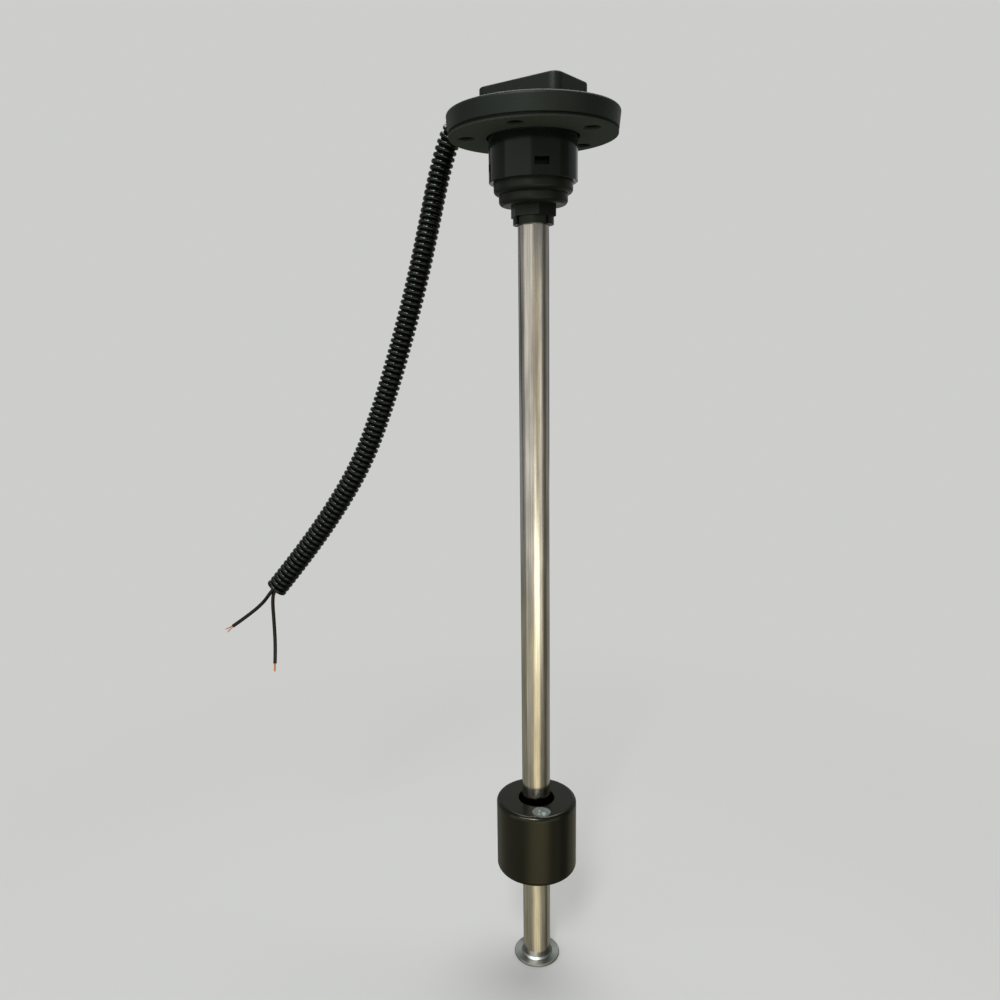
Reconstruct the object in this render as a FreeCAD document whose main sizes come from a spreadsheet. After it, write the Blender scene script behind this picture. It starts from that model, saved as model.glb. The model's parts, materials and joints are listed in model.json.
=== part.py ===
import FreeCAD, Part
import math
import os
import re
import Sketcher

# A fuel level sender: a five hole tank flange carries a steel stem, and a float with two
# magnets rides on the stem past a ladder of reed switches.
# Millimetres. +Z runs up the stem, +X to the right and +Y to the back. The origin is the
# centre of the gasket's lower face, which seats on the tank.

SIZES = {
    # Tank flange and its gasket
    "flange_diameter": 70.8,
    "flange_thickness": 7.6,
    "flange_edge": 1.2,
    "rim_draft": 0.8,
    "rim_foot_round": 0.4,
    "bolt_circle": 54.0,
    "bolt_hole": 7.0,
    "bolt_count": 5,
    "bolt_angle": 35.8,
    "gasket_diameter": 69.0,
    "gasket_thickness": 1.8,
    "gasket_bore": 38.0,
    "gasket_round": 0.4,
    # Terminal housing on the flange, and the nipple that the conduit is pushed over
    "housing_angle": 142.8,
    "housing_length": 38.6,
    "housing_width": 25.5,
    "housing_height": 10.4,
    "housing_corner": 3.9,
    "housing_edge": 0.9,
    "housing_roof": 2.5,
    "cavity_length": 24.0,
    "cavity_width": 15.0,
    "nipple_rise": 5.2,
    "nipple_diameter": 6.7,
    "nipple_bore": 4.6,
    "nipple_length": 6.0,
    # Skirt under the flange, with its snap windows
    "skirt_diameter": 36.4,
    "skirt_wall": 1.7,
    "skirt_depth": 17.5,
    "skirt_chamfer": 0.3,
    "seal_shoulder": 3.0,
    "window_count": 4,
    "window_angle": -82.9,
    "window_width": 5.9,
    "window_height": 3.0,
    "window_depth": 12.0,
    # Stepped tube holder that snaps up into the skirt
    "holder_play": 0.2,
    "holder_depth": 22.2,
    "holder_wall": 2.3,
    "sleeve_wall": 2.0,
    "core_depth": 9.0,
    "step_diameter": 28.4,
    "step_depth": 26.5,
    "step_round": 1.9,
    "lug_reach": 0.5,
    "lug_play": 0.2,
    "seal_thickness": 2.0,
    # Gland nut and the seal that it squeezes on the stem
    "nut_flats": 17.0,
    "nut_height": 4.5,
    "nut_angle": -81.0,
    "nut_corner": 0.8,
    "nut_edge": 0.4,
    "shank_diameter": 18.0,
    "shank_length": 9.0,
    "thread_play": 0.1,
    "lip_diameter": 16.9,
    "lip_height": 3.0,
    "slot_count": 4,
    "slot_angle": 38.0,
    "slot_width": 1.2,
    "gland_seal_height": 4.0,
    "seal_squeeze": 0.02,
    # Stem and foot
    "tube_diameter": 13.0,
    "tube_wall": 1.0,
    "tube_play": 0.1,
    "stem_length": 374.5,
    "foot_diameter": 21.6,
    "foot_thickness": 1.3,
    "foot_edge": 0.4,
    "weld_leg": 0.8,
    "spigot_height": 3.0,
    # Float and its two magnets
    "float_rise": 82.8,
    "float_diameter": 37.2,
    "float_length": 34.8,
    "float_bore": 16.6,
    "float_play": 0.3,
    "float_edge": 2.0,
    "float_lip": 0.5,
    "magnet_count": 2,
    "magnet_circle": 26.2,
    "magnet_angle": -84.0,
    "magnet_length": 14.0,
    "pocket_diameter": 8.4,
    "pocket_play": 0.05,
    "plug_depth": 3.0,
    "plug_dome": 1.3,
    # Board and switch ladder inside the stem
    "board_width": 9.0,
    "board_thickness": 1.0,
    "board_top": 15.0,
    "board_play": 0.05,
    "resin_height": 7.0,
    "reed_count": 13,
    "reed_first": 52.0,
    "reed_last": 22.5,
    "reed_diameter": 2.2,
    "reed_length": 13.0,
    "reed_lead": 0.6,
    "reed_span": 18.0,
    "tab_size": 1.0,
    "resistor_length": 3.2,
    "resistor_width": 1.6,
    "resistor_height": 0.6,
    # Conduit and leads
    "conduit_reach": 29.7,
    "conduit_diameter": 10.0,
    "conduit_bore": 6.9,
    "lead_diameter": 1.7,
    "lead_spacing": 2.0,
    "solder_rise": 1.5,
    "solder_gap": 0.2,
    "copper_diameter": 1.1,
    "copper_length": 4.6,
}

# Heights that several pieces share, as sheet expressions
FLANGE_TOP = "(gasket_thickness + flange_thickness)"
NIPPLE_AXIS = f"({FLANGE_TOP} + nipple_rise)"
CEILING = f"({FLANGE_TOP} + housing_height - housing_roof)"
SKIRT_BORE = "(skirt_diameter / 2 - skirt_wall)"
HOLDER_RADIUS = f"({SKIRT_BORE} - holder_play)"
HOLDER_TOP = "(seal_shoulder - seal_thickness)"
NUT_SEAT = "(-step_depth)"
GLAND_FLOOR = "(shank_length + gland_seal_height - step_depth)"
TUBE_HOLE = "(tube_diameter / 2 + tube_play)"
TUBE_BORE = "(tube_diameter / 2 - tube_wall)"
FLOAT_TOP = "(float_rise - stem_length)"
FLOAT_FOOT = f"({FLOAT_TOP} - float_length)"
# The loose float leans to the front, with the back of its bore on the stem
FLOAT_LEAN = "(tube_diameter / 2 + float_play - float_bore / 2)"

UP = FreeCAD.Vector(0, 0, 1)
ARC_SHARE = 0.45
NEAR = 1e-4

doc = FreeCAD.newDocument("FuelLevelSender")
sheet = doc.addObject("Spreadsheet::Sheet", "Sizes")
nodes = {}


def fill_sheet():
    """Write each size in its own row, named by its alias."""
    for row, (alias, number) in enumerate(SIZES.items(), 1):
        sheet.set(f"A{row}", alias)
        sheet.set(f"B{row}", str(number))
        sheet.setAlias(f"B{row}", alias)
    doc.recompute()


def expr(text):
    """Turn plain size names into references to the sheet."""
    return re.sub(r"[a-z_]+", lambda word: sheet_name(word.group()), text)


def sheet_name(word):
    if word in SIZES:
        return f"Sizes.{word}"
    return word


def size(text):
    """The present value of a sheet expression."""
    return float(sheet.evalExpression(expr(text)))


def bind(thing, **expressions):
    """Tie properties to the sheet; two underscores in a name stand for a dot."""
    for name, text in expressions.items():
        thing.setExpression(name.replace("__", "."), expr(text))


def node(thing, label):
    thing.Label = label
    nodes[label] = thing
    return thing


def new_body(label):
    return node(doc.addObject("PartDesign::Body", label), label)


def place(thing, angle, height="0", back="0"):
    """Turn a piece about +Z and set its height and its way back, all from the sheet."""
    base = FreeCAD.Vector(0, size(back), size(height))
    thing.Placement = FreeCAD.Placement(base, FreeCAD.Rotation(UP, size(angle)))
    bind(thing, Placement__Base__y=back, Placement__Base__z=height, Placement__Rotation__Angle=angle)


def origin_feature(body, role):
    return next(item for item in body.Origin.OriginFeatures if item.Role == role)


def new_sketch(body, name, plane="XY_Plane", lift="0"):
    sketch = body.newObject("Sketcher::SketchObject", name)
    sketch.AttachmentSupport = [(origin_feature(body, plane), "")]
    sketch.MapMode = "FlatFace"
    bind(sketch, AttachmentOffset__Base__z=lift)
    return sketch


def radial_sketch(body, name, angle):
    """A sketch in the plane through the stem's axis at an angle: x is radius, y is height."""
    sketch = new_sketch(body, name, "XZ_Plane")
    sketch_up = FreeCAD.Vector(0, 1, 0)
    sketch.AttachmentOffset = FreeCAD.Placement(
        FreeCAD.Vector(), FreeCAD.Rotation(sketch_up, size(angle)))
    bind(sketch, AttachmentOffset__Rotation__Angle=angle)
    return sketch


def pin_point(sketch, geometry, position, x, y):
    """Hold one point of a sketch at sheet expressions for its two coordinates."""
    for kind, text in (("DistanceX", x), ("DistanceY", y)):
        number = sketch.addConstraint(Sketcher.Constraint(kind, geometry, position, size(text)))
        sketch.setExpression(f"Constraints[{number}]", expr(text))


def polygon(sketch, corners):
    """A closed outline whose corners are pairs of sheet expressions."""
    points = [FreeCAD.Vector(size(x), size(y), 0) for x, y in corners]
    for start, end in zip(points, points[1:] + points[:1]):
        sketch.addGeometry(Part.LineSegment(start, end), False)
    for index, corner in enumerate(corners):
        after = (index + 1) % len(corners)
        sketch.addConstraint(Sketcher.Constraint("Coincident", index, 2, after, 1))
        pin_point(sketch, index, 1, *corner)
    return sketch


def rectangle(sketch, length, width):
    x = f"({length}) / 2"
    y = f"({width}) / 2"
    return polygon(sketch, [(f"-{x}", f"-{y}"), (x, f"-{y}"), (x, y), (f"-{x}", y)])


def circle(sketch, radius, x="0", y="0"):
    centre = FreeCAD.Vector(size(x), size(y), 0)
    geometry = sketch.addGeometry(Part.Circle(centre, UP, size(radius)), False)
    pin_point(sketch, geometry, 3, x, y)
    number = sketch.addConstraint(Sketcher.Constraint("Radius", geometry, size(radius)))
    sketch.setExpression(f"Constraints[{number}]", expr(radius))
    return sketch


def revolve(body, name, corners):
    sketch = polygon(new_sketch(body, f"{name}_profile", "XZ_Plane"), corners)
    feature = body.newObject("PartDesign::Revolution", name)
    feature.Profile = sketch
    feature.ReferenceAxis = (sketch, ["V_Axis"])
    feature.Angle = 360
    return feature


def pad(body, sketch, name, length, both_ways=False):
    feature = body.newObject("PartDesign::Pad", name)
    feature.Profile = sketch
    bind(feature, Length=length)
    if both_ways:
        feature.SideType = "Symmetric"
    return feature


def pocket(body, sketch, name, length, both_ways=False):
    """Cut a sketch away, against its plane's normal, and check that it met the solid."""
    doc.recompute()
    before = body.Shape.Volume
    feature = body.newObject("PartDesign::Pocket", name)
    feature.Profile = sketch
    bind(feature, Length=length)
    if both_ways:
        feature.SideType = "Symmetric"
    doc.recompute()
    if body.Shape.Volume > before - NEAR:
        raise RuntimeError(f"{name} cuts nothing")
    return feature


def polar(body, feature, name, count):
    pattern = body.newObject("PartDesign::PolarPattern", name)
    pattern.Originals = [feature]
    pattern.Axis = (origin_feature(body, "Z_Axis"), [""])
    pattern.Angle = 360
    bind(pattern, Occurrences=count)
    body.Tip = pattern
    return pattern


def fillet(body, name, radius, wanted):
    """Round the edges of the body's last feature that the test picks."""
    doc.recompute()
    base = body.Tip
    picked = [f"Edge{index}" for index, edge in enumerate(base.Shape.Edges, 1) if wanted(edge)]
    feature = body.newObject("PartDesign::Fillet", name)
    feature.Base = (base, picked)
    bind(feature, Radius=radius)
    return feature


def is_ring(edge, *rings):
    """True for a circle about the stem at one of the (radius, height) pairs."""
    if not isinstance(edge.Curve, Part.Circle):
        return False
    centre = edge.Curve.Center
    return any(
        abs(edge.Curve.Radius - size(radius)) < NEAR and abs(centre.z - size(height)) < NEAR
        for radius, height in rings)


def stands_on(edge, height):
    """True for a straight upright edge with its foot at a height."""
    if not isinstance(edge.Curve, Part.Line) or abs(edge.Curve.Direction.z) < 1 - NEAR:
        return False
    return abs(edge.BoundBox.ZMin - size(height)) < NEAR


def lies_at(edge, height):
    box = edge.BoundBox
    return abs(box.ZMin - size(height)) < NEAR and abs(box.ZMax - size(height)) < NEAR


def cylinder(name, radius, height, x="0", y="0", z="0"):
    thing = doc.addObject("Part::Cylinder", name)
    bind(thing, Radius=radius, Height=height)
    bind(thing, Placement__Base__x=x, Placement__Base__y=y, Placement__Base__z=z)
    return thing


def box(name, length, width, height, x, y, z):
    thing = doc.addObject("Part::Box", name)
    bind(thing, Length=length, Width=width, Height=height)
    bind(thing, Placement__Base__x=x, Placement__Base__y=y, Placement__Base__z=z)
    return thing


def ring(label, outer, inner, bottom, height):
    """A plain ring about the stem."""
    thing = doc.addObject("Part::Cut", label)
    thing.Base = cylinder(f"{label}_outer", outer, height, z=bottom)
    thing.Tool = cylinder(f"{label}_inner", inner, height, z=bottom)
    return node(thing, label)


def make_head():
    """Flange, terminal housing and snap skirt, one moulding; local +X is the conduit's way out."""
    body = new_body("head_housing")
    place(body, "housing_angle")
    revolve(body, "flange_and_skirt", [
        (SKIRT_BORE, "-skirt_depth"),
        ("skirt_diameter / 2 - skirt_chamfer", "-skirt_depth"),
        ("skirt_diameter / 2", "skirt_chamfer - skirt_depth"),
        ("skirt_diameter / 2", "gasket_thickness"),
        ("flange_diameter / 2 - rim_draft", "gasket_thickness"),
        ("flange_diameter / 2", FLANGE_TOP),
        ("0", FLANGE_TOP),
        ("0", "seal_shoulder"),
        (SKIRT_BORE, "seal_shoulder"),
    ])
    block = rectangle(
        new_sketch(body, "housing_outline", lift=FLANGE_TOP), "housing_length", "housing_width")
    pad(body, block, "terminal_housing", "housing_height")
    fillet(body, "housing_corners", "housing_corner", lambda edge: stands_on(edge, FLANGE_TOP))
    housing_top = f"{FLANGE_TOP} + housing_height"
    fillet(body, "housing_edges", "housing_edge", lambda edge: lies_at(edge, housing_top))
    fillet(body, "rim_edge", "flange_edge",
           lambda edge: is_ring(edge, ("flange_diameter / 2", FLANGE_TOP)))
    fillet(body, "rim_foot", "rim_foot_round",
           lambda edge: is_ring(edge, ("flange_diameter / 2 - rim_draft", "gasket_thickness")))
    stub = new_sketch(body, "nipple_outline", "YZ_Plane", "housing_length / 2")
    pad(body, circle(stub, "nipple_diameter / 2", y=NIPPLE_AXIS), "nipple", "nipple_length")
    hollow = rectangle(new_sketch(body, "cavity_outline", lift=CEILING), "cavity_length", "cavity_width")
    pocket(body, hollow, "cavity", f"{CEILING} - seal_shoulder")
    way_out = new_sketch(body, "nipple_bore_outline", "YZ_Plane", "housing_length / 2 + nipple_length")
    circle(way_out, "nipple_bore / 2", y=NIPPLE_AXIS)
    pocket(body, way_out, "nipple_way", "nipple_length + (housing_length - cavity_length) / 2")
    window = polygon(radial_sketch(body, "window_outline", "window_angle - housing_angle"), [
        (f"{SKIRT_BORE} - skirt_wall / 2", "-window_depth - window_height / 2"),
        ("skirt_diameter / 2 + skirt_wall", "-window_depth - window_height / 2"),
        ("skirt_diameter / 2 + skirt_wall", "window_height / 2 - window_depth"),
        (f"{SKIRT_BORE} - skirt_wall / 2", "window_height / 2 - window_depth"),
    ])
    cut = pocket(body, window, "window", "window_width", both_ways=True)
    polar(body, cut, "windows", "window_count")
    drill_bolt_holes(body, "bolt_angle - housing_angle", FLANGE_TOP, "flange_thickness")


def drill_bolt_holes(body, angle, top, thickness):
    outline = new_sketch(body, f"{body.Label}_bolt_outline", lift=top)
    circle(outline, "bolt_hole / 2",
           f"bolt_circle / 2 * cos({angle})", f"bolt_circle / 2 * sin({angle})")
    hole = pocket(body, outline, f"{body.Label}_bolt_hole", thickness)
    polar(body, hole, f"{body.Label}_bolt_holes", "bolt_count")


def make_gasket():
    body = new_body("flange_gasket")
    revolve(body, "gasket_ring", [
        ("gasket_bore / 2", "0"),
        ("gasket_diameter / 2", "0"),
        ("gasket_diameter / 2", "gasket_thickness"),
        ("gasket_bore / 2", "gasket_thickness"),
    ])
    fillet(body, "gasket_edges", "gasket_round", lambda edge: is_ring(
        edge, ("gasket_diameter / 2", "0"), ("gasket_diameter / 2", "gasket_thickness")))
    drill_bolt_holes(body, "bolt_angle", "gasket_thickness", "gasket_thickness")


def make_holder():
    """Stepped holder: cored from above, threaded from below, with four snap lugs."""
    body = new_body("tube_holder")
    thread = "(shank_diameter / 2 + thread_play)"
    sleeve = f"({TUBE_HOLE} + sleeve_wall)"
    core_floor = f"{HOLDER_TOP} - core_depth"
    revolve(body, "holder_steps", [
        (TUBE_HOLE, GLAND_FLOOR),
        (thread, GLAND_FLOOR),
        (thread, NUT_SEAT),
        ("step_diameter / 2", NUT_SEAT),
        ("step_diameter / 2", "-holder_depth"),
        (HOLDER_RADIUS, "-holder_depth"),
        (HOLDER_RADIUS, HOLDER_TOP),
        (f"{HOLDER_RADIUS} - holder_wall", HOLDER_TOP),
        (f"{HOLDER_RADIUS} - holder_wall", core_floor),
        (sleeve, core_floor),
        (sleeve, HOLDER_TOP),
        (TUBE_HOLE, HOLDER_TOP),
    ])
    fillet(body, "step_rounds", "step_round", lambda edge: is_ring(
        edge, (HOLDER_RADIUS, "-holder_depth"), ("step_diameter / 2", NUT_SEAT)))
    catch = "lug_play - window_depth - window_height / 2"
    crest = "-window_depth"
    lead_in = "window_height / 2 - window_depth - lug_play"
    root = f"{HOLDER_RADIUS} - holder_wall / 2"
    tip = f"{SKIRT_BORE} + lug_reach"
    lug = polygon(radial_sketch(body, "lug_outline", "window_angle"), [
        (root, catch),
        (tip, catch),
        (tip, crest),
        (HOLDER_RADIUS, lead_in),
        (root, lead_in),
    ])
    snap = pad(body, lug, "lug", "window_width - 2 * lug_play", both_ways=True)
    polar(body, snap, "lugs", "window_count")


def make_gland_nut():
    """Hexagon nut with a plain threaded shank above and a slotted lip below."""
    body = new_body("gland_nut")
    place(body, "nut_angle")
    nut_foot = f"({NUT_SEAT} - nut_height)"
    corner = "nut_flats / sqrt(3)"
    hexagon = [(f"{corner} * cos({60 * side})", f"{corner} * sin({60 * side})") for side in range(6)]
    pad(body, polygon(new_sketch(body, "hexagon", lift=nut_foot), hexagon), "nut_body", "nut_height")
    fillet(body, "nut_corners", "nut_corner", lambda edge: stands_on(edge, nut_foot))
    fillet(body, "nut_edges", "nut_edge", lambda edge: lies_at(edge, nut_foot))
    pad(body, circle(new_sketch(body, "shank_outline", lift=NUT_SEAT), "shank_diameter / 2"),
        "shank", "shank_length")
    lip_foot = f"({nut_foot} - lip_height)"
    pad(body, circle(new_sketch(body, "lip_outline", lift=lip_foot), "lip_diameter / 2"),
        "lip", "lip_height")
    bore = circle(new_sketch(body, "nut_bore_outline", lift=f"{NUT_SEAT} + shank_length"), TUBE_HOLE)
    pocket(body, bore, "nut_bore", "shank_length + nut_height + lip_height")
    slot = polygon(radial_sketch(body, "slot_outline", "slot_angle - nut_angle"), [
        (TUBE_BORE, lip_foot),
        ("lip_diameter / 2 + tube_wall", lip_foot),
        ("lip_diameter / 2 + tube_wall", nut_foot),
        (TUBE_BORE, nut_foot),
    ])
    cut = pocket(body, slot, "slot", "slot_width", both_ways=True)
    polar(body, cut, "slots", "slot_count")


def make_seals_and_stem():
    ring("holder_seal", HOLDER_RADIUS, f"{HOLDER_RADIUS} - holder_wall", HOLDER_TOP, "seal_thickness")
    ring("gland_seal", "shank_diameter / 2", "tube_diameter / 2 + seal_squeeze",
         f"{NUT_SEAT} + shank_length", "gland_seal_height")
    ring("stem_tube", "tube_diameter / 2", TUBE_BORE, "-stem_length", "stem_length + seal_shoulder")


def make_foot():
    """Stop disc: the stem's end sits over its spigot, with a weld bead round the outside."""
    body = new_body("foot_plug")
    floor = "-stem_length"
    spigot = f"{TUBE_BORE} - tube_play"
    revolve(body, "foot_turning", [
        ("0", "-stem_length - foot_thickness"),
        ("foot_diameter / 2", "-stem_length - foot_thickness"),
        ("foot_diameter / 2", floor),
        (f"{TUBE_HOLE} + weld_leg", floor),
        (TUBE_HOLE, "weld_leg - stem_length"),
        (TUBE_HOLE, floor),
        (spigot, floor),
        (spigot, "spigot_height - stem_length"),
        ("0", "spigot_height - stem_length"),
    ])
    fillet(body, "disc_edges", "foot_edge", lambda edge: is_ring(
        edge, ("foot_diameter / 2", floor), ("foot_diameter / 2", "-stem_length - foot_thickness")))


def make_float():
    """Float with a loose bore and two magnet pockets; local +X is the front pocket."""
    body = new_body("float_body")
    place(body, "magnet_angle", back=FLOAT_LEAN)
    revolve(body, "float_turning", [
        ("float_bore / 2", FLOAT_FOOT),
        ("float_diameter / 2", FLOAT_FOOT),
        ("float_diameter / 2", FLOAT_TOP),
        ("float_bore / 2", FLOAT_TOP),
    ])
    fillet(body, "float_edges", "float_edge", lambda edge: is_ring(
        edge, ("float_diameter / 2", FLOAT_TOP), ("float_diameter / 2", FLOAT_FOOT)))
    fillet(body, "float_lips", "float_lip", lambda edge: is_ring(
        edge, ("float_bore / 2", FLOAT_TOP), ("float_bore / 2", FLOAT_FOOT)))
    mouth = new_sketch(body, "pocket_outline", lift=FLOAT_TOP)
    circle(mouth, "pocket_diameter / 2", x="magnet_circle / 2")
    hole = pocket(body, mouth, "magnet_pocket", "magnet_length + plug_depth")
    polar(body, hole, "magnet_pockets", "magnet_count")
    for side, turn in (("front", "magnet_angle"), ("rear", "magnet_angle + 180")):
        make_magnet(side, turn)


def make_magnet(side, turn):
    """A bar magnet at the bottom of its pocket, closed by a domed resin plug."""
    x = f"magnet_circle / 2 * cos({turn})"
    y = f"magnet_circle / 2 * sin({turn}) + {FLOAT_LEAN}"
    radius = "(pocket_diameter / 2 - pocket_play)"
    floor = f"{FLOAT_TOP} - plug_depth"
    magnet = cylinder(f"magnet_{side}", radius, "magnet_length", x, y, f"{floor} - magnet_length")
    node(magnet, f"float_magnet_{side}")
    ball = f"(({radius} * {radius} + plug_dome * plug_dome) / (2 * plug_dome))"
    dome = doc.addObject("Part::Sphere", f"dome_{side}")
    bind(dome, Radius=ball, Angle1=f"asin(({ball} - plug_dome) / {ball})")
    bind(dome, Placement__Base__x=x, Placement__Base__y=y,
         Placement__Base__z=f"{FLOAT_TOP} + plug_dome - {ball}")
    plug = doc.addObject("Part::Fuse", f"plug_{side}")
    plug.Base = cylinder(f"plug_shank_{side}", radius, "plug_depth", x, y, floor)
    plug.Tool = dome
    node(plug, f"float_seal_{side}")


def make_board():
    """Strip board on the foot's spigot, held at its head by the resin."""
    body = new_body("sensor_board")
    place(body, "housing_angle")
    foot = "(spigot_height - stem_length)"
    outline = rectangle(new_sketch(body, "board_outline", lift=foot), "board_thickness", "board_width")
    pad(body, outline, "board_strip", f"board_top - {foot}")
    resin = new_body("head_resin")
    place(resin, "housing_angle")
    fill = rectangle(new_sketch(resin, "resin_outline", lift="seal_shoulder"),
                     "cavity_length", "cavity_width")
    pad(resin, fill, "resin_fill", "resin_height")
    slit = rectangle(new_sketch(resin, "board_slit_outline", lift="seal_shoulder + resin_height"),
                     "board_thickness + 2 * board_play", "board_width + 2 * board_play")
    pocket(resin, slit, "board_slit", "resin_height")


def make_ladder():
    """Reed switches up one face of the board, and a resistor beside each on the other."""
    face = "board_thickness / 2"
    axis = f"({face} + reed_diameter / 2)"
    pitch = "(stem_length - reed_first - reed_last) / (reed_count - 1)"
    for step in range(int(size("reed_count"))):
        number = f"{step + 1:02d}"
        height = f"-reed_first - {step} * {pitch}"
        switch = doc.addObject("Part::MultiFuse", f"switch_{number}")
        glass = cylinder(f"glass_{number}", "reed_diameter / 2 - board_play", "reed_length",
                         axis, z="-reed_length / 2")
        lead = cylinder(f"reed_wire_{number}", "reed_lead / 2", "reed_span", axis, z="-reed_span / 2")
        tabs = [
            box(f"tab_{number}_{end}", "reed_diameter / 2", "tab_size", "tab_size",
                face, "-tab_size / 2", z)
            for end, z in (("low", "-reed_span / 2"), ("high", "reed_span / 2 - tab_size"))]
        switch.Shapes = [glass, lead] + tabs
        place(switch, "housing_angle", height)
        node(switch, f"reed_switch_{number}")
        chip = new_body(f"ladder_resistor_{number}")
        place(chip, "housing_angle", height)
        outline = polygon(new_sketch(chip, f"chip_outline_{number}", lift="-resistor_length / 2"), [
            (f"-{face}", "-resistor_width / 2"),
            (f"-{face}", "resistor_width / 2"),
            (f"-{face} - resistor_height", "resistor_width / 2"),
            (f"-{face} - resistor_height", "-resistor_width / 2"),
        ])
        pad(chip, outline, f"chip_{number}", "resistor_length")


# The conduit's route beyond its straight run off the nipple, chosen by eye from its lie:
# over the flange's rim, down behind it and away to the left in a growing bend.
CONDUIT_ROUTE = [
    (-28.1, 24.1, 15.3),
    (-31.4, 29.6, 12.2),
    (-35.5, 32.1, 5.8),
    (-40.4, 33.0, -9.8),
    (-44.6, 30.4, -28.8),
    (-51.1, 26.7, -56.0),
    (-59.5, 25.0, -84.5),
    (-67.9, 23.5, -110.0),
    (-77.5, 22.2, -133.7),
    (-90.2, 21.0, -154.6),
    (-106.4, 19.7, -176.7),
    (-120.0, 18.8, -192.8),
]
# The free tails of the two leads beyond the conduit's mouth
LEAD_TAILS = {
    "lead_1": [(-128.5, 20.3, -201.5), (-136.2, 21.8, -207.5), (-143.8, 21.7, -213.0)],
    "lead_2": [(-123.6, 19.9, -203.0), (-123.5, 20.9, -213.5), (-123.9, 21.0, -223.0),
               (-124.4, 20.5, -232.2)],
}


def vectors(points):
    return [FreeCAD.Vector(*point) for point in points]


def towards_conduit(reach, height):
    """A point at a reach from the stem's axis on the conduit's way out."""
    angle = math.radians(size("housing_angle"))
    return FreeCAD.Vector(reach * math.cos(angle), reach * math.sin(angle), height)


def cord_path(label, points):
    """Straight runs joined by tangent arcs, each as large as its two runs allow."""
    edges = []
    radii = []
    start = points[0]
    for before, corner, after in zip(points, points[1:], points[2:]):
        back = before - corner
        ahead = after - corner
        half_turn = (math.pi - back.getAngle(ahead)) / 2
        reach = ARC_SHARE * min(back.Length, ahead.Length)
        radius = reach / math.tan(half_turn)
        back.normalize()
        ahead.normalize()
        inward = back + ahead
        inward.normalize()
        middle = corner + inward * (radius / math.cos(half_turn) - radius)
        enter = corner + back * reach
        leave = corner + ahead * reach
        edges.append(Part.LineSegment(start, enter).toShape())
        edges.append(Part.Arc(enter, middle, leave).toShape())
        radii.append(round(radius, 1))
        start = leave
    edges.append(Part.LineSegment(start, points[-1]).toShape())
    path = Part.Wire(edges)
    print(label, "length", round(path.Length, 1), "arc radii", radii)
    return path


def sweep(path, points, radius):
    """A round rod along a path, with its volume compared to section times length."""
    section = Part.Wire(Part.makeCircle(radius, points[0], points[1] - points[0]))
    rod = path.makePipeShell([section], True, True)
    expected = math.pi * radius ** 2 * path.Length
    if abs(rod.Volume - expected) > 0.01 * expected:
        raise RuntimeError(f"a sweep of radius {radius} has the wrong volume")
    return rod


def cord_node(label, shape):
    thing = doc.addObject("Part::Feature", label)
    thing.Shape = shape
    return node(thing, label)


def make_cords():
    """Conduit over the nipple, and two leads from the board to their stripped ends."""
    exit_height = size(NIPPLE_AXIS)
    over_rim = [towards_conduit(size("conduit_reach"), exit_height)] + vectors(CONDUIT_ROUTE)
    route = [towards_conduit(size("housing_length / 2"), exit_height)] + over_rim
    path = cord_path("conduit", route)
    outside = sweep(path, route, size("conduit_diameter / 2"))
    inside = sweep(path, route, size("conduit_bore / 2"))
    cord_node("conduit", outside.cut(inside))
    across = towards_conduit(1, 0).cross(UP)
    solder_height = size("seal_shoulder + resin_height + solder_rise")
    solder_point = towards_conduit(size("board_thickness / 2 + solder_gap"), solder_height)
    nipple_entry = towards_conduit(size("(housing_length + cavity_length) / 4"), exit_height)
    for (label, tail), side in zip(LEAD_TAILS.items(), (-1, 1)):
        shift = across * (side * size("lead_spacing / 2"))
        points = [point + shift for point in [solder_point, nipple_entry] + over_rim] + vectors(tail)
        cord_node(label, sweep(cord_path(label, points), points, size("lead_diameter / 2")))
        tip = points[-1] - points[-2]
        tip.normalize()
        strands = Part.makeCylinder(size("copper_diameter / 2"), size("copper_length"), points[-1], tip)
        cord_node(f"{label}_copper", strands)


def check_and_write():
    """Stop on any failed object or bad shape, then write one file for each node."""
    doc.recompute()
    for thing in doc.Objects:
        if "Invalid" in thing.State or "Error" in thing.State:
            raise RuntimeError(f"{thing.Label} did not compute")
    for label, thing in nodes.items():
        if thing.Shape.isNull() or not thing.Shape.isValid():
            raise RuntimeError(f"{label} has no valid shape")
    os.makedirs("parts", exist_ok=True)
    for label, thing in nodes.items():
        thing.Shape.exportStep(f"parts/{label}.step")
    print(len(nodes), "nodes written")


fill_sheet()
make_head()
make_gasket()
make_holder()
make_gland_nut()
make_seals_and_stem()
make_foot()
make_float()
make_board()
make_ladder()
make_cords()
check_and_write()
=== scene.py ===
import json
import math
import random

import bpy
from mathutils import Matrix, Vector


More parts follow.
